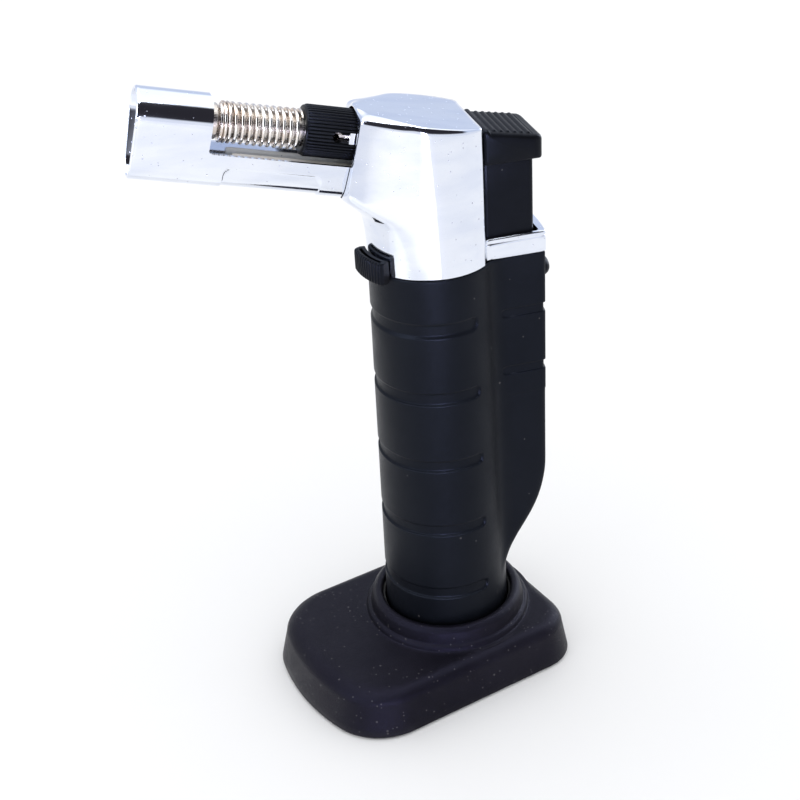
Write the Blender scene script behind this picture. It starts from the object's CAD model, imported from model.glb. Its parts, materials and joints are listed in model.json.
"""Looks of the butane torch: fine meshes, materials, light and camera.

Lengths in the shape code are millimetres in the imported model's frame (handle
axis on Z, burner towards -X, trigger at +X); piece() turns them into metres.
"""
import json
import math

import bmesh
import bpy
from mathutils import Matrix, Vector


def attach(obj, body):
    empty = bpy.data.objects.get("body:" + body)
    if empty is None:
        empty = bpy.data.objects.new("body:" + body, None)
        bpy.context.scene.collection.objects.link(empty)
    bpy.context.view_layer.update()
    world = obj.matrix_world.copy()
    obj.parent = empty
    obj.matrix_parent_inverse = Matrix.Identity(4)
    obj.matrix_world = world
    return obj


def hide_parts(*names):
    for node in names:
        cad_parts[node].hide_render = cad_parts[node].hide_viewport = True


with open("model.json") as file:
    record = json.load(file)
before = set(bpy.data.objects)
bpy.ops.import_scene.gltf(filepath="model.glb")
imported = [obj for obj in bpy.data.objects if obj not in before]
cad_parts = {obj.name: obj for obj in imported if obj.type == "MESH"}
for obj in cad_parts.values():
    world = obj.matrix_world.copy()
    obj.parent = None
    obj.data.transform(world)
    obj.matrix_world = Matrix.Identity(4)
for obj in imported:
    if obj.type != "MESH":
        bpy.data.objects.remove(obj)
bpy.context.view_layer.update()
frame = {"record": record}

MM = 0.001
PI = math.pi
TAU = 2 * math.pi

# ---------------------------------------------------------------- sizes (mm)
SEAM_Z = 123.1
TILT = math.radians(14.27)
MOUTH = Vector((-68.3, 0.0, 170.2))
FRONT_S = 51.3
HOOD_WALL = 0.9
STAND_TURN = math.radians(16.2)
STAND_TOP = 13.0
HANDLE_BASE, HANDLE_TOP = 3.3, 123.0
HOUSE_HALF, HOUSE_REAR = 9.1, 27.3
GROOVES = ((26.7, 30.4), (47.6, 51.1), (67.9, 71.3), (87.9, 91.5), (107.3, 111.2))
SIDE_GROOVES = ((89.4, 92.1), (106.1, 108.8))
LOCK_Z = 115.2
CASE_BASE, CASE_REAR = 123.3, 11.2
CASE_CREST, TOP_SLOPE = 158.25, 0.22
CASE_SPAN = 37.7
COLLAR_TOP = 128.8
SHOULDER = 2.3
WALL_ROW, WALL_STEP, WALL_ROWS = 135.2, 0.42, 28
LEVER_REACH = math.radians(20.5)
LEVER_TURN = math.radians(15.5)


# ---------------------------------------------------------------- mesh helpers
def smin(a, b, k):
    """Smaller of two lengths, blended within k of their crossing."""
    h = max(k - abs(a - b), 0.0) / k
    return min(a, b) - h * h * k * 0.25


def smax(a, b, k):
    return -smin(-a, -b, k)


def smooth(t):
    """S-curve from 0 to 1."""
    t = min(max(t, 0.0), 1.0)
    return t * t * (3 - 2 * t)


def skin(rings, loop=False, caps=True):
    """Faces between rings of equal length, closed by end caps or by joining the last to the first."""
    n = len(rings[0])
    verts = [tuple(p) for ring in rings for p in ring]
    faces = []
    count = len(rings)
    for i in range(count if loop else count - 1):
        a, b = i * n, ((i + 1) % count) * n
        faces += [(a + k, a + (k + 1) % n, b + (k + 1) % n, b + k) for k in range(n)]
    if caps and not loop:
        faces += [tuple(reversed(range(n))), tuple(range((count - 1) * n, count * n))]
    return verts, faces


def revolve(profile, steps=96, ring=False):
    """Turn (r, z) points about Z, a point on the axis becoming one vertex."""
    verts, faces, rows = [], [], []
    for r, z in profile:
        if r < 1e-6:
            rows.append([len(verts)] * steps)
            verts.append((0.0, 0.0, z))
        else:
            rows.append(list(range(len(verts), len(verts) + steps)))
            verts += [(r * math.cos(TAU * k / steps), r * math.sin(TAU * k / steps), z)
                      for k in range(steps)]
    pairs = list(zip(rows, rows[1:])) + ([(rows[-1], rows[0])] if ring else [])
    for low, high in pairs:
        for k in range(steps):
            n = (k + 1) % steps
            face = []
            for v in (low[k], low[n], high[n], high[k]):
                if v not in face:
                    face.append(v)
            if len(face) > 2:
                faces.append(face)
    return verts, faces


def extrude(outline, z0, z1):
    """Closed prism over a flat outline."""
    return skin([[(x, y, z0) for x, y in outline], [(x, y, z1) for x, y in outline]])


def box(x0, x1, y0, y1, z0, z1):
    return extrude(((x0, y0), (x1, y0), (x1, y1), (x0, y1)), z0, z1)


def arc(cx, cy, r, a0, a1, n):
    """Points on a circle from a0 to a1 degrees."""
    return [(cx + r * math.cos(math.radians(a0 + (a1 - a0) * k / n)),
             cy + r * math.sin(math.radians(a0 + (a1 - a0) * k / n))) for k in range(n + 1)]


def rounded(x0, x1, half, r, n=8):
    """Rectangle, even about the X axis, with round corners."""
    return (arc(x1 - r, half - r, r, 0, 90, n) + arc(x0 + r, half - r, r, 90, 180, n)
            + arc(x0 + r, r - half, r, 180, 270, n) + arc(x1 - r, r - half, r, 270, 360, n))


def ellipse(w, h, n=48):
    return [(w * math.cos(TAU * k / n), h * math.sin(TAU * k / n)) for k in range(n)]


def moved(body, matrix):
    return [tuple(matrix @ Vector(v)) for v in body[0]], body[1]


def merged(*bodies):
    verts, faces = [], []
    for v, f in bodies:
        base = len(verts)
        verts += v
        faces += [tuple(i + base for i in face) for face in f]
    return verts, faces


def softened(points, r, n=3):
    """Round every inner corner of an open (r, z) profile by about r."""
    pts = [Vector(p) for p in points]
    out = [tuple(pts[0])]
    for a, b, c in zip(pts, pts[1:], pts[2:]):
        d0, d1 = (a - b), (c - b)
        reach = min(r, d0.length * 0.45, d1.length * 0.45)
        p0, p1 = b + d0.normalized() * reach, b + d1.normalized() * reach
        for k in range(n + 1):
            t = k / n
            out.append(tuple(p0 * (1 - t) ** 2 + b * 2 * t * (1 - t) + p1 * t * t))
    out.append(tuple(pts[-1]))
    return out


def burner_frame():
    """Burner coordinates: height above its axis, side, and s from the mouth backwards."""
    up = Vector((math.sin(TILT), 0, math.cos(TILT)))
    back = Vector((math.cos(TILT), 0, -math.sin(TILT)))
    m = Matrix((up, (0, -1, 0), back)).transposed().to_4x4()
    m.translation = MOUTH
    return m


BURNER = burner_frame()
STAND = Matrix.Rotation(STAND_TURN, 4, "Z")


def burner_side(body, lift=0.0):
    """Stand a prism over an (s, height) outline on its side, across the burner."""
    return moved(([(y + lift, z, x) for x, y, z in body[0]], body[1]), BURNER)


def mesh_object(name, body):
    mesh = bpy.data.meshes.new(name)
    mesh.from_pydata([tuple(Vector(v) * MM) for v in body[0]], [], body[1])
    bm = bmesh.new()
    bm.from_mesh(mesh)
    bmesh.ops.remove_doubles(bm, verts=bm.verts, dist=1e-7)
    bmesh.ops.recalc_face_normals(bm, faces=bm.faces)
    bm.to_mesh(mesh)
    bm.free()
    obj = bpy.data.objects.new(name, mesh)
    bpy.context.collection.objects.link(obj)
    return obj


def carved(obj, *bodies, operation="DIFFERENCE"):
    """Cut closed bodies from obj (or weld them on) and keep the result as its mesh."""
    tool = mesh_object(obj.name + "_tool", merged(*bodies))
    mod = obj.modifiers.new("carve", "BOOLEAN")
    mod.operation = operation
    mod.solver = "EXACT"
    mod.object = tool
    graph = bpy.context.evaluated_depsgraph_get()
    result = bpy.data.meshes.new_from_object(obj.evaluated_get(graph))
    obj.modifiers.remove(mod)
    old = obj.data
    obj.data = result
    bpy.data.meshes.remove(old)
    bpy.data.objects.remove(tool)
    return obj


def piece(obj, body, material, nodes=(), sharp=30):
    """Finish a piece: shading, material, and what it rides on and stands for."""
    obj.data.materials.clear()
    obj.data.materials.append(material)
    obj.data.polygons.foreach_set("use_smooth", [True] * len(obj.data.polygons))
    obj.data.set_sharp_from_angle(angle=math.radians(sharp))
    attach(obj, body)
    if nodes:
        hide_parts(*nodes)
    return obj


# ---------------------------------------------------------------- materials
def new_material(name):
    mat = bpy.data.materials.new(name)
    mat.use_nodes = True
    tree = mat.node_tree
    return mat, tree, tree.nodes["Principled BSDF"]


def coords(tree, scale=(1, 1, 1)):
    tex = tree.nodes.new("ShaderNodeTexCoord")
    mapping = tree.nodes.new("ShaderNodeMapping")
    mapping.inputs["Scale"].default_value = scale
    tree.links.new(tex.outputs["Object"], mapping.inputs["Vector"])
    return mapping.outputs["Vector"]


def noise(tree, vector, scale, detail=4.0, rough=0.55):
    node = tree.nodes.new("ShaderNodeTexNoise")
    node.inputs["Scale"].default_value = scale
    node.inputs["Detail"].default_value = detail
    node.inputs["Roughness"].default_value = rough
    tree.links.new(vector, node.inputs["Vector"])
    return node.outputs["Fac"]


def spread(tree, value, low, high, to_low, to_high):
    node = tree.nodes.new("ShaderNodeMapRange")
    node.inputs["From Min"].default_value = low
    node.inputs["From Max"].default_value = high
    node.inputs["To Min"].default_value = to_low
    node.inputs["To Max"].default_value = to_high
    tree.links.new(value, node.inputs["Value"])
    return node.outputs["Result"]


def maths(tree, operation, a, b=None):
    node = tree.nodes.new("ShaderNodeMath")
    node.operation = operation
    for socket, value in zip(node.inputs, (a, b)):
        if value is None:
            continue
        if isinstance(value, (int, float)):
            socket.default_value = value
        else:
            tree.links.new(value, socket)
    return node.outputs[0]


def mixed(tree, factor, a, b):
    node = tree.nodes.new("ShaderNodeMix")
    node.data_type = "RGBA"
    tree.links.new(factor, node.inputs["Factor"])
    for socket, value in ((node.inputs["A"], a), (node.inputs["B"], b)):
        if isinstance(value, tuple):
            socket.default_value = value
        else:
            tree.links.new(value, socket)
    return node.outputs["Result"]


def bumped(tree, shader, height, distance, strength=1.0):
    node = tree.nodes.new("ShaderNodeBump")
    node.inputs["Strength"].default_value = strength
    node.inputs["Distance"].default_value = distance
    tree.links.new(height, node.inputs["Height"])
    tree.links.new(node.outputs["Normal"], shader.inputs["Normal"])


def specks(tree, vector, scale, size, share):
    """Small round dots: one in some cells of a Voronoi pattern."""
    node = tree.nodes.new("ShaderNodeTexVoronoi")
    node.inputs["Scale"].default_value = scale
    tree.links.new(vector, node.inputs["Vector"])
    dot = maths(tree, "LESS_THAN", node.outputs["Distance"], size)
    split = tree.nodes.new("ShaderNodeSeparateColor")
    tree.links.new(node.outputs["Color"], split.inputs["Color"])
    chosen = maths(tree, "LESS_THAN", split.outputs["Red"], share)
    return maths(tree, "MULTIPLY", dot, chosen)


def worn_edges(tree, low=0.52, high=0.6):
    """Bright where the surface turns a sharp convex corner."""
    geo = tree.nodes.new("ShaderNodeNewGeometry")
    return spread(tree, geo.outputs["Pointiness"], low, high, 0.0, 1.0)


def plastic(name, colour, tint, rough, grain, depth, dust=0.0, sheen_tint=(0.62, 0.72, 1, 1)):
    """Satin moulded plastic: fine grain, uneven sheen, rubbed edges and a little dust."""
    mat, tree, shader = new_material(name)
    vector = coords(tree)
    cloud = noise(tree, vector, 45.0, 5.0)
    patch = spread(tree, cloud, 0.35, 0.68, 0.0, 1.0)
    base = mixed(tree, patch, colour, tint)
    edge = maths(tree, "MULTIPLY", worn_edges(tree), 0.35)
    base = mixed(tree, edge, base, tuple(min(c * 3.2 + 0.012, 1) for c in tint[:3]) + (1,))
    if dust:
        dots = specks(tree, vector, 420.0, 0.13, dust)
        fine = specks(tree, vector, 900.0, 0.2, dust * 0.8)
        both = maths(tree, "MULTIPLY", maths(tree, "ADD", dots, fine), 0.5)
        base = mixed(tree, both, base, (0.11, 0.105, 0.11, 1))
    tree.links.new(base, shader.inputs["Base Color"])
    fine_grain = noise(tree, vector, grain, 3.0, 0.6)
    smear = noise(tree, vector, 110.0, 3.0)
    sheen = maths(tree, "ADD", spread(tree, smear, 0.3, 0.7, rough - 0.05, rough + 0.07),
                  spread(tree, fine_grain, 0.3, 0.7, -0.03, 0.03))
    tree.links.new(sheen, shader.inputs["Roughness"])
    shader.inputs["Specular IOR Level"].default_value = 0.12
    shader.inputs["Specular Tint"].default_value = sheen_tint
    bumped(tree, shader, fine_grain, depth)
    return mat


def chrome(name, colour, rough=0.045, pits=0.09):
    """Bright plating over a casting: faint waviness, smudges and tiny dark pits."""
    mat, tree, shader = new_material(name)
    vector = coords(tree)
    smear = noise(tree, vector, 60.0, 6.0, 0.62)
    streak = noise(tree, coords(tree, (0.22, 1, 1)), 210.0, 3.0, 0.5)
    small = specks(tree, vector, 560.0, 0.12, pits)
    tiny = specks(tree, vector, 1300.0, 0.2, pits)
    dots = maths(tree, "MINIMUM", maths(tree, "ADD", small, tiny), 1.0)
    base = mixed(tree, spread(tree, smear, 0.35, 0.7, 0.0, 1.0), colour,
                 tuple(c * 0.93 for c in colour[:3]) + (1,))
    base = mixed(tree, spread(tree, streak, 0.42, 0.66, 0.0, 0.5), base, (0.64, 0.69, 0.82, 1))
    base = mixed(tree, maths(tree, "MULTIPLY", dots, 0.5), base, (0.2, 0.22, 0.28, 1))
    tree.links.new(base, shader.inputs["Base Color"])
    shader.inputs["Metallic"].default_value = 1.0
    gloss = spread(tree, smear, 0.3, 0.75, rough, rough + 0.07)
    tree.links.new(maths(tree, "ADD", gloss, maths(tree, "MULTIPLY", dots, 0.3)),
                   shader.inputs["Roughness"])
    wave = noise(tree, vector, 90.0, 2.0)
    height = maths(tree, "SUBTRACT", maths(tree, "MULTIPLY", wave, 0.5),
                   maths(tree, "MULTIPLY", dots, 1.0))
    bumped(tree, shader, height, 0.00003)
    return mat


def metal(name, colour, tint, rough, stretch=(1, 1, 1), scale=900.0, depth=0.000012):
    """Drawn or turned metal with fine lines and a patchy tint."""
    mat, tree, shader = new_material(name)
    lines = noise(tree, coords(tree, stretch), scale, 4.0, 0.6)
    patch = noise(tree, coords(tree), 160.0, 4.0)
    base = mixed(tree, spread(tree, patch, 0.35, 0.68, 0.0, 1.0), colour, tint)
    tree.links.new(base, shader.inputs["Base Color"])
    shader.inputs["Metallic"].default_value = 1.0
    tree.links.new(spread(tree, lines, 0.3, 0.7, rough - 0.05, rough + 0.1),
                   shader.inputs["Roughness"])
    bumped(tree, shader, lines, depth)
    return mat


def soft_stuff(name, colour, tint, rough, scale, depth):
    """Rubber, nylon, felt and ceramic: mottled colour with a surface texture."""
    mat, tree, shader = new_material(name)
    vector = coords(tree)
    grain = noise(tree, vector, scale, 5.0, 0.65)
    base = mixed(tree, spread(tree, noise(tree, vector, 120.0), 0.35, 0.68, 0, 1), colour, tint)
    tree.links.new(base, shader.inputs["Base Color"])
    tree.links.new(spread(tree, grain, 0.3, 0.7, rough - 0.06, rough + 0.08),
                   shader.inputs["Roughness"])
    bumped(tree, shader, grain, depth)
    return mat


MATERIALS = {
    "stand_black": plastic("stand_plastic", (0.0035, 0.0031, 0.0052, 1), (0.0085, 0.0077, 0.0112, 1),
                           0.36, 4200.0, 0.00012, dust=0.24, sheen_tint=(0.6, 0.59, 1, 1)),
    "handle_black": plastic("handle_plastic", (0.0032, 0.0039, 0.006, 1), (0.005, 0.0058, 0.0086, 1),
                            0.37, 6500.0, 0.00004, dust=0.012),
    "black_nylon": plastic("nylon_black", (0.0032, 0.0033, 0.0044, 1), (0.0048, 0.005, 0.0063, 1),
                           0.36, 5200.0, 0.00003, dust=0.01),
    "chrome": chrome("chrome_plate", (0.80, 0.835, 0.915, 1)),
    "steel": metal("burner_steel", (0.66, 0.62, 0.57, 1), (0.55, 0.49, 0.44, 1), 0.24,
                   (1, 6, 6)),
    "spring_steel": metal("spring_wire", (0.74, 0.71, 0.68, 1), (0.6, 0.5, 0.42, 1), 0.14),
    "brass": metal("turned_brass", (0.74, 0.53, 0.22, 1), (0.6, 0.4, 0.15, 1), 0.27, (1, 1, 8)),
    "rubber": soft_stuff("black_rubber", (0.016, 0.016, 0.017, 1), (0.028, 0.027, 0.027, 1), 0.72,
                         3500.0, 0.00005),
    "white_nylon": soft_stuff("natural_nylon", (0.74, 0.72, 0.66, 1), (0.66, 0.63, 0.56, 1), 0.45,
                              2500.0, 0.00003),
    "ceramic": soft_stuff("glazed_ceramic", (0.86, 0.84, 0.79, 1), (0.78, 0.75, 0.68, 1), 0.2,
                          1800.0, 0.00002),
    "felt": soft_stuff("pressed_felt", (0.68, 0.63, 0.52, 1), (0.55, 0.5, 0.4, 1), 0.92, 3000.0,
                       0.0002),
    "lead_red": soft_stuff("lead_insulation", (0.42, 0.03, 0.02, 1), (0.3, 0.02, 0.015, 1), 0.42,
                           3000.0, 0.00003),
}


# ---------------------------------------------------------------- stand
def stand_plan(inset, n=22):
    front, rear, half = 48.4 - inset * 1.45, 27.3 - inset, 28.7 - inset
    bow, corner, back = 62.0 - inset, 17.0 - inset * 0.5, 11.0 - inset * 0.5
    bx, cy = -front + bow, half - corner
    cx = bx - math.sqrt((bow - corner) ** 2 - cy ** 2)
    turn = math.degrees(math.atan2(cy, bx - cx))
    nose = arc(bx, 0, bow, 180, 180 - turn, 12)[:-1]
    side = arc(cx, cy, corner, 180 - turn, 90, n) + arc(rear - back, half - back, back, 90, 0, n)
    near = nose + side
    return near + [(x, -y) for x, y in reversed(near[1:])]


def along_outline(outline, count):
    """The same outline with evenly spread points, starting at its first one."""
    pts = [Vector(p) for p in outline] + [Vector(outline[0])]
    lengths = [0.0]
    for a, b in zip(pts, pts[1:]):
        lengths.append(lengths[-1] + (b - a).length)
    out, i = [], 0
    for k in range(count):
        d = lengths[-1] * k / count
        while lengths[i + 1] < d:
            i += 1
        t = (d - lengths[i]) / max(lengths[i + 1] - lengths[i], 1e-9)
        out.append(tuple(pts[i].lerp(pts[i + 1], t)))
    return out


def build_stand():
    count = 192
    turn = [math.atan2(y, x) for x, y in along_outline(stand_plan(0.0), count)]

    def circle(r, z):
        return [(r * math.cos(a), r * math.sin(a), z) for a in turn]

    def plan(inset, z):
        return [(x, y, z) for x, y in along_outline(stand_plan(inset), count)]

    collar = softened([(19.3, 3.1), (19.4, 17.4), (18.3, 17.7), (18.3, 18.4), (18.9, 19.0),
                       (20.1, 18.95), (21.2, 17.9), (21.8, 15.6), (21.9, 14.7), (22.7, 14.45),
                       (23.1, 13.9), (23.3, 13.1), (24.6, STAND_TOP)], 0.5, 3)
    rings = [circle(0.02, 3.0), circle(10.0, 3.0)] + [circle(r, z) for r, z in collar]
    rim = plan(5.2, STAND_TOP)
    inner = rings[-1]
    for f in (0.12, 0.4, 0.7):
        rings.append([tuple(Vector(a).lerp(Vector(b), f)) for a, b in zip(inner, rim)])
    shoulder = 3.9
    for k in range(9):
        a = PI / 2 * k / 8
        rings.append(plan(5.2 - 3.7 * math.sin(a) - 0.15 * k / 8,
                          STAND_TOP - shoulder * (1 - math.cos(a))))
    for f in (0.25, 0.5, 0.75, 1.0):
        rings.append(plan(1.35 * (1 - f), (STAND_TOP - shoulder) * (1 - f) + 0.7 * f))
    rings += [plan(0.1, 0.3), plan(0.45, 0.0), plan(2.0, 0.0), plan(2.5, 0.3), plan(3.6, 10.4),
              circle(21.8, 10.4), circle(21.5, 0.3), circle(21.2, 0.0), circle(0.02, 0.0)]
    stand = mesh_object("stand_shell", moved(skin(rings), STAND))
    piece(stand, "stand", MATERIALS["stand_black"], ("stand_base",), sharp=60)
    ribs = []
    for along, across in (((-44.0, -21.4), (-1.1, 1.1)), ((21.4, 23.6), (-1.1, 1.1)),
                          ((-1.1, 1.1), (21.4, 25.2)), ((-1.1, 1.1), (-25.2, -21.4))):
        ribs.append(moved(box(*along, *across, 0.6, 10.5), STAND))
    piece(mesh_object("stand_ribs", merged(*ribs)), "stand", MATERIALS["stand_black"])


# ---------------------------------------------------------------- handle
def handle_radius(z):
    return 16.0 + 1.1 * (SEAM_Z - z) / 94.0


def house_rear(z):
    bend_z, radius, turn = 61.5, 36.0, math.radians(31)
    drop = max(bend_z - z, 0.0)
    if drop < radius * math.sin(turn):
        return HOUSE_REAR - radius + math.sqrt(radius * radius - drop * drop)
    knee = drop - radius * math.sin(turn)
    return HOUSE_REAR - radius * (1 - math.cos(turn)) - knee * math.tan(turn)


def capsule_cut(along, z, low, high, soft=0.32):
    """0 outside a rounded band, 1 on its floor; along is measured past its end."""
    half = (high - low) / 2
    reach = max(along + half, 0.0)
    distance = math.hypot(reach, z - (low + half)) - half
    return smooth(-distance / soft)


def handle_reach(a, z):
    r, half, rear = handle_radius(z), HOUSE_HALF, house_rear(z)
    c, s = math.cos(a), abs(math.sin(a))
    reach = r
    if c > 0.3:
        side = half / max(s, 1e-5)
        y = rear * s / c
        bow = 0.7 * max(1 - (y / half) ** 2, 0.0) * smooth((rear - r) / 4)
        back = (rear + bow) / c
        house = smin(back, side, 1.7 if z > 83 else 2.4)
        reach = smax(r, house, 3.4)
    cut = 0.0
    front = r * (PI - abs(math.atan2(math.sin(a), math.cos(a))))
    end = r * math.radians(180 - 62)
    for low, high in GROOVES:
        if low - 1 < z < high + 1:
            cut = max(cut, 0.55 * capsule_cut(front - end, z, low, high))
    if c > 0.3 and rear - r > 2:
        x = reach * c
        for low, high in SIDE_GROOVES:
            if low - 1 < z < high + 1:
                cut = max(cut, 0.5 * capsule_cut(15.4 - x, z, low, high, 0.3))
        if z < 84 and reach * s > half - 1.6 and x > 16.5:
            cut = max(cut, 0.12 * smooth((83.6 - z) / 0.4) * smooth((x - 16.5) / 1.0))
    return reach - cut


def handle_angles():
    """Closely spaced at the housing corners, the valleys and the groove ends."""
    stops = ((0, 14, 8), (14, 22, 12), (22, 30, 8), (30, 48, 20), (48, 60, 5), (60, 76, 22),
             (76, 180, 46))
    half = []
    for a0, a1, n in stops:
        half += [a0 + (a1 - a0) * k / n for k in range(n)]
    full = half + [180.0] + [-a for a in reversed(half[1:])]
    return [math.radians(a) for a in full]


def handle_rows():
    rows = {HANDLE_BASE + 0.7, 8.0, 12.0, 16.0, 20.0, HANDLE_TOP - 0.4}
    rows |= {22.0 + 1.6 * k for k in range(27)} | {66.0 + 4.0 * k for k in range(15)}
    for low, high in GROOVES + SIDE_GROOVES:
        rows = {z for z in rows if not low - 0.5 < z < high + 0.5}
        span = high - low
        rows |= {low + d for d in (-0.3, 0.0, 0.08, 0.16, 0.24, 0.34)}
        rows |= {high - d for d in (-0.3, 0.0, 0.08, 0.16, 0.24, 0.34)}
        rows |= {low + 0.34 + (span - 0.68) * k / 6 for k in range(1, 6)}
    rows |= {83.1, 83.3, 83.5, 83.7}
    out = []
    for z in sorted(rows):
        if not out or z - out[-1] > 0.03:
            out.append(z)
    return out


def build_handle():
    angles = handle_angles()

    def ring(z, inset=0.0, level=None):
        return [((handle_reach(a, z) - inset) * math.cos(a),
                 (handle_reach(a, z) - inset) * math.sin(a), z if level is None else level)
                for a in angles]

    rings = [ring(12.0, 3.0, HANDLE_BASE), ring(12.0, 0.9, HANDLE_BASE),
             ring(12.0, 0.35, HANDLE_BASE + 0.25)]
    rings += [ring(z) for z in handle_rows()]
    rings += [ring(118.0, 0.1, HANDLE_TOP - 0.12), ring(118.0, 0.3, HANDLE_TOP),
              ring(118.0, 0.75, HANDLE_TOP), ring(118.0, 0.8, HANDLE_TOP - 0.2),
              ring(118.0, 0.8, 107.0), ring(104.0, 1.9, 106.0), ring(66.0, 1.9, 66.0)]
    rings += [ring(z, 1.9) for z in (56.0, 46.0, 36.0, 20.0)] + [ring(12.0, 3.0, 9.2)]
    handle = mesh_object("handle_shell", skin(rings, loop=True))
    window = box(24.0, 29.5, -3.3, 3.3, 112.6, 117.8)
    carved(handle, window)
    recess = ellipse(4.2, 3.1)
    carved(handle, skin([[(x, y, LOCK_Z + z) for y, z in recess] for x in (26.95, 29.6)]))
    piece(handle, "torch", MATERIALS["handle_black"], ("tank_handle",), sharp=50)


# ---------------------------------------------------------------- head casing
def case_top(x):
    return CASE_CREST + (CASE_REAR - x) * TOP_SLOPE


FLARE = ((123.0, 0.0), (128.0, 0.08), (131.6, 0.28), (134.5, 0.6), (136.4, 1.05), (137.8, 1.8),
         (139.1, 3.0), (140.7, 4.6), (142.4, 6.4), (145.6, 9.0), (150.0, 14.0), (170.0, 40.0))


def flare(z):
    for (z0, v0), (z1, v1) in zip(FLARE, FLARE[1:]):
        if z <= z1:
            return v0 + (v1 - v0) * (z - z0) / (z1 - z0)
    return FLARE[-1][1]


def case_reach(angle, z, wall=0.0):
    """Distance from the handle axis to the casing wall in one direction."""
    t = (z - SEAM_Z) / CASE_SPAN
    c, s = math.cos(angle), abs(math.sin(angle))
    grow = 3.3 if c > 0 else 17.0
    a, b, shift = 16.0 + grow * t - wall, 16.0 - 2.0 * t - wall, -0.6 * t
    qa = (c / a) ** 2 + (s / b) ** 2
    qb = -2 * shift * c / a ** 2
    qc = (shift / a) ** 2 - 1
    reach = (-qb + math.sqrt(qb * qb - 4 * qa * qc)) / (2 * qa)
    if c > 0.1:
        return smin(reach, (CASE_REAR - wall) / c, 1.2)
    slope = 0.34 + 0.15 * max(0.0, (z - 143) / 20)
    x0, y0 = -6.9 + 0.9 * t, 14.5 - 1.6 * t - wall * 1.05
    lean = s - slope * c
    if lean > 0:
        reach = smin(reach, (y0 - slope * x0) / lean, 0.8)
    if c < -0.05:
        f = -flare(z)
        r = 16.0 - wall
        curve = c * f + math.sqrt(max(r * r - (s * f) ** 2, 0.0))
        if curve * c < f:
            reach = smin(reach, curve, 0.25 + 0.5 * smooth((z - 128) / 8))
        face_x = MOUTH.x + (FRONT_S + wall) / math.cos(TILT) - (MOUTH.z - z) * math.tan(TILT)
        reach = smin(reach, face_x / c, 0.9)
    return reach


def top_reach(angle, wall_reach):
    """Edge of the flat top: a leaf, pointed towards the burner and cut off at the rear."""
    c, s = math.cos(angle), abs(math.sin(angle))
    for half_x in (20.0, 17.1):
        qa, qb, qc = (c / half_x) ** 2 + (s / 13.3) ** 2, -2 * c / half_x ** 2, 1 / half_x ** 2 - 1
        reach = (-qb + math.sqrt(qb * qb - 4 * qa * qc)) / (2 * qa)
        if reach * c <= 1.0:
            break
    if s > 0.93 * c:
        reach = smin(reach, 17.67 / (s - 0.93 * c), 1.0)
    if c < -0.05:
        reach = smin(reach, -16.7 / c, 0.6)
    return min(reach, wall_reach - 0.3)


def collar_reach(angle):
    c, s = math.cos(angle), abs(math.sin(angle))
    if c < 0.3:
        return 0.0
    y = 27.4 * s / c
    bow = 0.7 * max(1 - (y / 9.4) ** 2, 0.0)
    return smin((27.4 + bow) / c, 9.4 / max(s, 1e-5), 2.0)


def case_angles():
    stops = ((0, 14, 6), (14, 22, 12), (22, 34, 10), (34, 52, 26), (52, 84, 16), (84, 126, 34),
             (126, 170, 44), (170, 180, 5))
    half = []
    for a0, a1, n in stops:
        half += [a0 + (a1 - a0) * k / n for k in range(n)]
    full = half + [180.0] + [-a for a in reversed(half[1:])]
    return [math.radians(a) for a in full]


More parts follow.
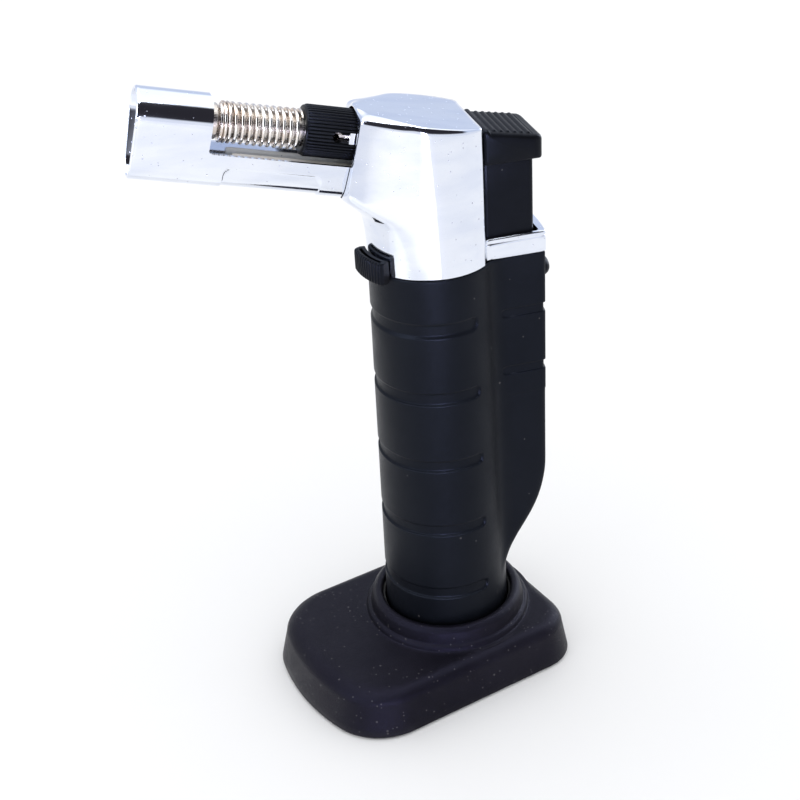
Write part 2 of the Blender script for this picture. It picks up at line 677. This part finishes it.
def build_head():
    angles = case_angles()
    wall = 1.0

    def reach_at(a, z):
        reach = case_reach(a, z)
        if z < COLLAR_TOP + 0.01:
            reach = smax(reach, collar_reach(a), 2.6)
        return reach

    def ring(z, inset=0.0, level=None, plain=False):
        out = []
        for a in angles:
            reach = (case_reach(a, z) if plain else reach_at(a, z)) - inset
            out.append((reach * math.cos(a), reach * math.sin(a), z if level is None else level))
        return out

    def collar_ring(z, inset):
        """Only the collar gives way by inset; the casing wall stays put."""
        out = []
        for a in angles:
            wide, slim = reach_at(a, 126.0), case_reach(a, z)
            bulge = wide - case_reach(a, 126.0)
            reach = slim + max(bulge - inset * smooth(bulge / 0.5), 0.0)
            out.append((reach * math.cos(a), reach * math.sin(a), z))
        return out

    rings = [ring(123.4, 0.12, CASE_BASE), ring(123.4), ring(124.5), ring(126.0)]
    rings += [collar_ring(z, d) for z, d in ((127.3, 0.0), (127.45, 0.16), (127.7, 0.2),
                                            (127.9, 0.12), (128.1, 0.0), (128.45, 0.02),
                                            (128.7, 0.22), (COLLAR_TOP, 0.5))]
    rings += [ring(z, plain=True) for z in (128.85, 130.0, 131.5, 133.0, 134.3)]
    rings += [ring(WALL_ROW + WALL_STEP * k, plain=True) for k in range(WALL_ROWS)]
    edge = []
    for a in angles:
        z = 158.0
        for _ in range(12):
            r = case_reach(a, z)
            z = case_top(r * math.cos(a)) - SHOULDER
        edge.append((a, r, z))
    start = WALL_ROW + WALL_STEP * (WALL_ROWS - 1)
    for f in (0.06, 0.14, 0.25, 0.4, 0.55, 0.7, 0.85, 1.0):
        out = []
        for a, r, z in edge:
            level = start + (z - start) * f
            reach = case_reach(a, level)
            out.append((reach * math.cos(a), reach * math.sin(a), level))
        rings.append(out)
    for k in range(1, 9):
        phi = PI / 2 * k / 8
        out = []
        for a, r, z in edge:
            reach = r + (top_reach(a, r) - r) * (1 - math.cos(phi))
            x, y = reach * math.cos(a), reach * math.sin(a)
            out.append((x, y, case_top(x) - SHOULDER * (1 - math.sin(phi))))
        rings.append(out)
    rim = rings[-1]
    middle = Vector((-3.0, 0.0, case_top(-3.0)))
    for f in (0.06, 0.3, 0.6, 0.85, 0.999):
        rings.append([tuple(Vector(p).lerp(middle, f)) for p in rim])
    outer = skin(rings)
    case = mesh_object("head_shell", outer)
    hollow = []
    for z in (120.0, 131.0, 136.0, 138.5, 141.0, 144.0, 147.0, 152.0):
        hollow.append([(case_reach(a, max(z, 123.3), wall) * math.cos(a),
                        case_reach(a, max(z, 123.3), wall) * math.sin(a), z) for a in angles[::2]])
    top = []
    for a in angles[::2]:
        z = 156.0
        for _ in range(8):
            r = case_reach(a, z, wall)
            z = case_top(r * math.cos(a)) - 2.2
        top.append((r * math.cos(a), r * math.sin(a), z))
    hollow.append(top)
    hollow.append([(x * 0.93, y * 0.93, case_top(x * 0.93) - 1.2) for x, y, z in top])
    carved(case, skin(hollow))
    opening = skin([[(h, y, s) for h, y in pear(-0.35)] for s in (FRONT_S - 6, FRONT_S + 6)])
    carved(case, moved(opening, BURNER),
           extrude(rounded(11.35, 25.9, 8.45, 1.0, 6), 121.0, 130.0))
    carved(case, extrude(((-18, -10.4), (-12, -7.6), (-12, 7.6), (-18, 10.4)), 122.0, 125.4))
    piece(case, "torch", MATERIALS["chrome"], ("head_casing",), sharp=38)


# ---------------------------------------------------------------- burner
def pear(offset=0.0, n=48, flat=26):
    """Hood section as (height, side): a round top over a narrower rounded keel."""
    top, keel, drop = 6.3 - offset, 4.6 - offset, 10.9
    lean = math.degrees(math.asin((6.3 - 4.6) / drop))
    crown = arc(0, 0, top, -(90 + lean), 90 + lean, n)
    base = arc(-drop, 0, keel, 90 + lean, 270 - lean, n)

    def between(p, q):
        return [(p[0] + (q[0] - p[0]) * k / flat, p[1] + (q[1] - p[1]) * k / flat)
                for k in range(1, flat)]

    return crown + between(crown[-1], base[0]) + base + between(base[-1], crown[0])


def build_hood():
    outer, inner = pear(), pear(HOOD_WALL)

    def panel_depth(s, h):
        """Shallow panel with rounded upper corners low on the hood's side."""
        mid, half, r = 33.4, 11.9, 2.2
        dx = max(abs(s - mid) - (half - r), 0.0)
        dz = max(h - (-9.5 - r), 0.0)
        return smooth((r - math.hypot(dx, dz)) / 0.3)

    rows = [0.0, 0.12, 0.35, 1.0, 4.0, 8.0, 12.0, 16.0, 20.0]
    rows += [21.4 + 0.1 * k for k in range(6)] + [22.2, 22.6, 23.0, 23.4, 24.0]
    rows += [26.0 + 2.0 * k for k in range(9)] + [43.0, 43.6, 44.0, 44.4]
    rows += [44.9 + 0.1 * k for k in range(6)] + [46.0, 49.0, 52.0, 55.0]
    rings = []
    for s in rows:
        lip = 0.3 * max(1 - s / 0.35, 0.0) ** 1.5
        ring = []
        for (h, y), (hi, yi) in zip(outer, inner):
            t = (lip + 0.35 * panel_depth(s, h)) / HOOD_WALL
            ring.append((h + (hi - h) * t, y + (yi - y) * t, s))
        rings.append(ring)
    rings += [[(h, y, s) for h, y in inner] for s in (55.0, 40.0, 20.0, 0.35)]
    rings.append([(h + (ho - h) * 0.25, y + (yo - y) * 0.25, 0.0)
                  for (h, y), (ho, yo) in zip(inner, outer)])
    hood = mesh_object("hood_shell", moved(skin(rings, loop=True), BURNER))
    cut = ([(14.7, 8.0), (14.7, 6.6)] + arc(16.2, 5.3, 1.3, 90, 0, 12)
           + arc(18.4, -5.5, 0.9, 180, 270, 8) + [(57.0, -6.4), (57.0, 8.0)])
    carved(hood, burner_side(extrude(cut, -8.0, 8.0)))
    piece(hood, "torch", MATERIALS["chrome"], ("nozzle_hood",), sharp=40)


def helix(radius, wire, path, sides=12, steps=44):
    """Coil through (turn, height) stations, with rounded-off wire ends."""
    turns = path[-1][0]
    count = int(turns * steps)
    rings = []
    for k in range(count + 1):
        turn = turns * k / count
        for (t0, z0), (t1, z1) in zip(path, path[1:]):
            if turn <= t1 + 1e-9:
                break
        z = z0 + (z1 - z0) * (turn - t0) / (t1 - t0)
        a = TAU * turn
        out = Vector((math.cos(a), math.sin(a), 0))
        up = Vector((0, 0, 1))
        end = min(k, count - k)
        w = wire * (0.55 if end == 0 else 0.9 if end == 1 else 1.0)
        centre = out * radius + up * z
        rings.append([tuple(centre + out * (w * math.cos(TAU * j / sides))
                            + up * (w * math.sin(TAU * j / sides))) for j in range(sides)])
    return skin(rings)


def build_burner():
    tube = softened([(3.25, 2.0), (3.9, 2.0), (4.2, 2.35), (4.2, 18.7), (4.05, 19.05),
                     (3.6, 19.1), (3.6, 66.0)], 0.15, 3)
    tube += [(3.0, 66.0), (3.0, 18.7), (3.25, 18.3)]
    burner = mesh_object("burner_pipe", moved(revolve(tube, 64, ring=True), BURNER))
    port = revolve(((0, -6), (1.1, -6), (1.1, 6), (0, 6)), 32)
    spin = Matrix.Rotation(-PI / 2, 4, "X")
    carved(burner, moved(port, BURNER @ Matrix.Translation((0, 0, 46.8)) @ spin))
    piece(burner, "torch", MATERIALS["steel"], ("burner_tube",), sharp=35)

    path = ((0.0, 19.65), (1.0, 20.5), (2.0, 21.5), (3.0, 22.75), (12.2, 37.6), (13.1, 38.8))
    coil = mesh_object("burner_coil", moved(helix(4.45, 0.43, path), BURNER))
    piece(coil, "torch", MATERIALS["spring_steel"], ("burner_spring",), sharp=60)

    ribs, per = 45, 6

    def ribbed(depth):
        ring = []
        for k in range(ribs * per):
            wave = abs(math.sin(PI * k / per)) ** 0.6
            r = 5.74 - depth + 0.4 * wave
            ring.append((r * math.cos(TAU * k / (ribs * per)), r * math.sin(TAU * k / (ribs * per))))
        return ring

    def plain(r):
        return [(r * math.cos(TAU * k / (ribs * per)), r * math.sin(TAU * k / (ribs * per)))
                for k in range(ribs * per)]

    stations = ((plain(3.92), 39.5), (plain(4.3), 39.3), (plain(5.45), 39.3), (plain(5.8), 39.5),
                (plain(5.85), 39.75), (ribbed(0.12), 40.0), (ribbed(0.0), 40.4),
                (ribbed(0.0), 51.9), (ribbed(0.12), 52.2), (plain(5.85), 52.4),
                (plain(6.05), 52.55), (plain(6.05), 53.3), (plain(5.8), 53.5), (plain(4.3), 53.5),
                (plain(3.92), 53.3))
    rings = [[(x, y, s) for x, y in plan] for plan, s in stations]
    sleeve = mesh_object("sleeve_grip", moved(skin(rings, loop=True), BURNER))
    notch = [(54.5, -0.75), (54.5, 2.15), (49.7, 2.15), (49.7, 1.5)]
    notch += arc(47.0, 0.7, 1.25, 40, 320, 28) + [(49.7, -0.1), (49.7, -0.75)]
    carved(sleeve, burner_side(extrude(notch, 3.0, 8.0)))
    piece(sleeve, "sleeve", MATERIALS["black_nylon"], ("air_sleeve",), sharp=32)
    tab = burner_side(extrude(rounded(49.85, 52.9, 1.35, 0.15, 3), 4.1, 5.75), 0.7)
    piece(mesh_object("sleeve_insert", tab), "sleeve", MATERIALS["chrome"])


# ---------------------------------------------------------------- small controls
def build_trigger():
    slope = 3.0 / 15.2
    front, rear, half, corner = 12.0, 27.2, 8.85, 2.2
    slices, across = [], []
    for k in range(41):
        f = -1 + 2 * k / 40
        across.append(math.copysign(abs(f) ** 0.7, f) * half)
    count = 140

    def plan_x(y):
        inner = max(abs(y) - (half - corner), 0.0)
        back = corner - math.sqrt(max(corner ** 2 - inner ** 2, 0.0))
        nose = 1.0 - math.sqrt(max(1.0 - max(abs(y) - (half - 1.0), 0.0) ** 2, 0.0))
        return front + nose, rear - back

    def top_z(x, y, x0, x1):
        z = 156.35 - (x - front) * slope
        z += 0.55 * smooth((13.9 - x) / 0.5)
        wave = 0.5 - 0.5 * math.cos(TAU * (x - 14.3) / 1.72)
        inside = smooth((x - 14.3) / 0.3) * smooth((25.2 - x) / 0.4) * smooth((7.6 - abs(y)) / 0.4)
        z += 0.42 * wave ** 0.6 * inside
        for gap in (half - abs(y), x - x0, x1 - x):
            r = 1.1
            if gap < r:
                z -= r - math.sqrt(max(r * r - (r - max(gap, 0.0)) ** 2, 0.0))
        return z

    for y in across:
        x0, x1 = plan_x(y)
        low = 147.7 + 0.5 * smooth((abs(y) - half + 0.5) / 0.5)
        ring = []
        for k in range(count + 1):
            f = 0.5 - 0.5 * math.cos(PI * k / count)
            f = 0.75 * k / count + 0.25 * f
            x = x0 + (x1 - x0) * f
            ring.append((x, y, top_z(x, y, x0, x1)))
        for f in (0.15, 0.4, 0.7, 0.95):
            ring.append((x1, y, ring[count][2] + (low + 0.3 - ring[count][2]) * f))
        ring += [(x1 - 0.08, y, low + 0.1), (x1 - 0.35, y, low), (x0 + 0.35, y, low),
                 (x0 + 0.08, y, low + 0.1)]
        for f in (0.1, 0.5, 0.9):
            ring.append((x0, y, low + 0.3 + (ring[0][2] - low - 0.3) * f))
        slices.append(ring)
    cap = mesh_object("trigger_cap", skin(slices))
    piece(cap, "trigger", MATERIALS["black_nylon"], ("trigger",), sharp=42)
    plan = rounded(11.6, 24.8, 8.0, 1.3, 8)
    shrunk = rounded(11.9, 24.5, 7.7, 1.0, 8)
    hollow = rounded(12.9, 23.4, 6.7, 0.6, 8)
    rings = [[(x, y, z) for x, y in outline] for outline, z in
             ((hollow, 146.0), (hollow, 113.6), (shrunk, 113.5), (plan, 113.8), (plan, 120.0),
              (plan, 130.0), (plan, 140.0), (plan, 147.9), (shrunk, 148.6))]
    column = mesh_object("trigger_column", skin(rings))
    carved(column, box(10.0, 16.3, -3.6, 3.6, 112.0, 134.7), box(23.0, 26.0, -3.5, 3.5, 112.0, 124.4))
    piece(column, "trigger", MATERIALS["black_nylon"], sharp=42)
    web = box(16.4, 23.3, -2.1, 2.1, 113.5, 146.5)
    piece(mesh_object("trigger_web", web), "trigger", MATERIALS["black_nylon"])


def build_flow_lever():
    """Ribbed thumb segment, set off-centre, with an arm to a ring on the valve."""
    reach, ribs, per = LEVER_REACH, 14, 12
    count = ribs * per
    turned = Matrix.Rotation(LEVER_TURN, 4, "Z")

    def ring(z, ease, inner_r):
        outer = []
        for k in range(count + 1):
            f = k / count
            a = PI - reach + 2 * reach * f
            end = smooth(min(f, 1 - f) * count / per / 0.8)
            r = 18.5 + (0.55 + 0.5 * abs(math.sin(PI * k / per)) ** 0.7) * end - ease
            outer.append((r * math.cos(a), r * math.sin(a)))
        span = reach * 0.985
        inner = [(inner_r * math.cos(a), inner_r * math.sin(a)) for a in
                 (PI + span - 2 * span * k / count for k in range(count + 1))]
        return [(x, y, z) for x, y in outer + inner]

    rings = [ring(121.9, 0.55, 16.7), ring(122.05, 0.22, 16.5), ring(122.4, 0.0, 16.4),
             ring(124.5, 0.0, 16.4), ring(126.2, 0.0, 16.4), ring(127.0, 0.05, 16.4),
             ring(127.4, 0.25, 16.5), ring(127.6, 0.6, 16.7)]
    lever = mesh_object("flow_lever_grip", moved(skin(rings), turned))
    pocket = arc(0, 0, 18.3, 163.5, 196.5, 40) + arc(0, 0, 17.5, 196.5, 163.5, 40)
    carved(lever, moved(extrude(pocket, 125.2, 130.0), turned))
    arm, hub = 1.5, 4.3
    a = math.asin(arm / hub)
    plan = arc(0, 0, hub, math.degrees(PI + a) - 360, math.degrees(PI - a), 48)
    plan = [(-17.3, -arm)] + plan + [(-17.3, arm)]
    carved(lever, moved(extrude(plan, 123.6, 125.0), turned), operation="UNION")
    carved(lever, revolve(((0, 122), (3.72, 122), (3.72, 127), (0, 127)), 48))
    piece(lever, "flow_lever", MATERIALS["black_nylon"], ("gas_flow_lever",), sharp=36)


def build_lock():
    """Half-round push button on the back of the housing, with a stem through the window."""
    rings = []
    for k in range(13):
        f = k / 12
        rise = math.sin(PI / 2 * f)
        lean = math.cos(PI / 2 * f)
        w, h = 1.0 + 3.0 * lean ** 0.8, 0.35 + 2.5 * lean ** 0.8
        rings.append([(28.4 + 2.6 * rise, y, LOCK_Z + z) for y, z in ellipse(w, h)])
    first = [(28.15, y * 0.94, LOCK_Z + (z - LOCK_Z) * 0.94) for _, y, z in rings[0]]
    last = [(31.02, y * 0.3, LOCK_Z + (z - LOCK_Z) * 0.3) for _, y, z in rings[-1]]
    dome = mesh_object("lock_dome", skin([first] + rings + [last]))
    carved(dome, box(25.45, 28.9, -2.5, 2.5, 113.0, 117.0), operation="UNION")
    piece(dome, "lock", MATERIALS["black_nylon"], ("lock_button",), sharp=45)


# ---------------------------------------------------------------- everything else
def dress_nodes():
    """The CAD nodes that stay: their slot's procedural material and smooth shading."""
    for row in frame["record"]["subparts"]:
        obj = bpy.data.objects.get(row["node"])
        if obj is None or obj.hide_render:
            continue
        mat = MATERIALS[row["material_slot"]]
        if not obj.material_slots:
            obj.data.materials.append(mat)
        for place in obj.material_slots:
            place.material = mat


# ---------------------------------------------------------------- studio
def card(name, size, place, aim, material, camera=False):
    """A flat card facing a point, seen only in reflections unless camera is set."""
    mesh = bpy.data.meshes.new(name)
    w, h = size[0] / 2, size[1] / 2
    mesh.from_pydata([(-w, -h, 0), (w, -h, 0), (w, h, 0), (-w, h, 0)], [], [(0, 1, 2, 3)])
    mesh.materials.append(material)
    obj = bpy.data.objects.new(name, mesh)
    obj.location = place
    obj.rotation_euler = (Vector(aim) - Vector(place)).to_track_quat("Z", "Y").to_euler()
    obj.visible_camera = camera
    bpy.context.collection.objects.link(obj)
    return obj


def flat_material(name, colour, rough):
    mat, _, shader = new_material(name)
    shader.inputs["Base Color"].default_value = colour
    shader.inputs["Roughness"].default_value = rough
    shader.inputs["Specular IOR Level"].default_value = 0.1
    return mat


def area(name, place, aim, size, power, colour=(1, 1, 1)):
    """A rectangular light that acts on gloss only."""
    light = bpy.data.lights.new(name, "AREA")
    light.shape = "RECTANGLE"
    light.size, light.size_y = size
    light.energy = power
    light.color = colour
    obj = bpy.data.objects.new(name, light)
    obj.location = place
    obj.rotation_euler = (Vector(aim) - Vector(place)).to_track_quat("-Z", "Y").to_euler()
    obj.visible_diffuse = False
    bpy.context.collection.objects.link(obj)
    return obj


def build_floor():
    """Pale floor, and at the left a bright pool seen only in gloss, fading into it."""
    floor = flat_material("floor_white", (0.9, 0.905, 0.92, 1), 0.9)
    card("studio_floor", (6, 4.4), (0, 1.25, -0.0004), (0, 1.25, 1), floor, camera=True)
    glow, tree, shader = new_material("studio_glow")
    shader.inputs["Emission Color"].default_value = (1, 1, 1, 1)
    away = tree.nodes.new("ShaderNodeVectorMath")
    away.operation = "LENGTH"
    tree.links.new(coords(tree, (1.7, 2.2, 0)), away.inputs[0])
    tree.links.new(spread(tree, away.outputs["Value"], 0.35, 1.0, 1.3, 1.04),
                   shader.inputs["Emission Strength"])
    shader.inputs["Base Color"].default_value = (0, 0, 0, 1)
    pool = card("glow_left", (1.2, 0.92), (-0.62, -0.46, 0.0006), (-0.62, -0.46, 1), glow)
    pool.visible_diffuse = False
    pool.visible_shadow = False


def build_lights():
    target = (0, 0, 0.09)
    area("key_left", (-0.85, -0.35, 0.55), target, (0.35, 0.7), 6.5, (0.86, 0.92, 1.0))
    area("rim_right", (0.75, 0.35, 0.35), target, (0.3, 0.6), 4.0, (0.84, 0.9, 1.0))
    area("top_soft", (-0.05, -0.02, 1.0), target, (0.9, 0.42), 9.0, (0.9, 0.94, 1.0))
    area("low_front", (-0.21, -1.05, 0.12), (0, 0, 0.02), (0.2, 0.14), 11.0, (0.74, 0.74, 1.0))


def build_world():
    """White to the camera and to diffuse light; gloss sees a bluish sky with one dark side."""
    world = bpy.data.worlds.new("studio")
    bpy.context.scene.world = world
    world.use_nodes = True
    tree = world.node_tree
    back = tree.nodes["Background"]
    tex = tree.nodes.new("ShaderNodeTexCoord")
    split = tree.nodes.new("ShaderNodeSeparateXYZ")
    tree.links.new(tex.outputs["Generated"], split.inputs["Vector"])
    dot = tree.nodes.new("ShaderNodeVectorMath")
    dot.operation = "DOT_PRODUCT"
    tree.links.new(tex.outputs["Generated"], dot.inputs[0])
    # the open, unlit side of the room, towards the camera
    dot.inputs[1].default_value = (0.081, -0.924, 0.375)
    sky = mixed(tree, spread(tree, split.outputs["Z"], 0.5, 0.66, 0.0, 1.0),
                (0.69, 0.765, 0.93, 1), (1.35, 1.37, 1.4, 1))
    low = mixed(tree, spread(tree, split.outputs["Z"], 0.02, 0.2, 0.0, 1.0),
                (0.92, 0.94, 1.0, 1), sky)
    dim = maths(tree, "MULTIPLY", spread(tree, dot.outputs["Value"], 0.64, 0.72, 0.0, 1.0),
                spread(tree, split.outputs["Z"], 0.0, 0.1, 0.0, 1.0))
    room = mixed(tree, dim, low, (0.028, 0.026, 0.032, 1))
    path = tree.nodes.new("ShaderNodeLightPath")
    plain = maths(tree, "MAXIMUM", path.outputs["Is Camera Ray"], path.outputs["Is Diffuse Ray"])
    final = mixed(tree, plain, room, (1.16, 1.16, 1.16, 1))
    tree.links.new(final, back.inputs["Color"])
    back.inputs["Strength"].default_value = 1.0
    scene = bpy.context.scene
    scene.view_settings.view_transform = "Standard"
    scene.view_settings.look = "None"
    scene.view_settings.exposure = 0.0


def build_camera():
    azimuth, elevation, roll = math.radians(-13.4), math.radians(30.54), math.radians(-3.6)
    right = Vector((math.cos(azimuth), math.sin(azimuth), 0))
    ahead = Vector((-math.sin(azimuth) * math.cos(elevation),
                    math.cos(azimuth) * math.cos(elevation), -math.sin(elevation)))
    up = right.cross(ahead)
    x_axis = right * math.cos(roll) + up * math.sin(roll)
    y_axis = up * math.cos(roll) - right * math.sin(roll)
    data = bpy.data.cameras.new("camera")
    data.lens = 66.4
    data.sensor_width = 36.0
    data.clip_start, data.clip_end = 0.01, 50.0
    cam = bpy.data.objects.new("camera", data)
    m = Matrix((x_axis, y_axis, -ahead)).transposed().to_4x4()
    m.translation = Vector((-0.0882, -0.3269, 0.2807))
    cam.matrix_world = m
    bpy.context.collection.objects.link(cam)
    bpy.context.scene.camera = cam


build_camera()
build_stand()
build_handle()
build_head()
build_hood()
build_burner()
build_trigger()
build_flow_lever()
build_lock()
dress_nodes()
build_floor()
build_lights()
build_world()
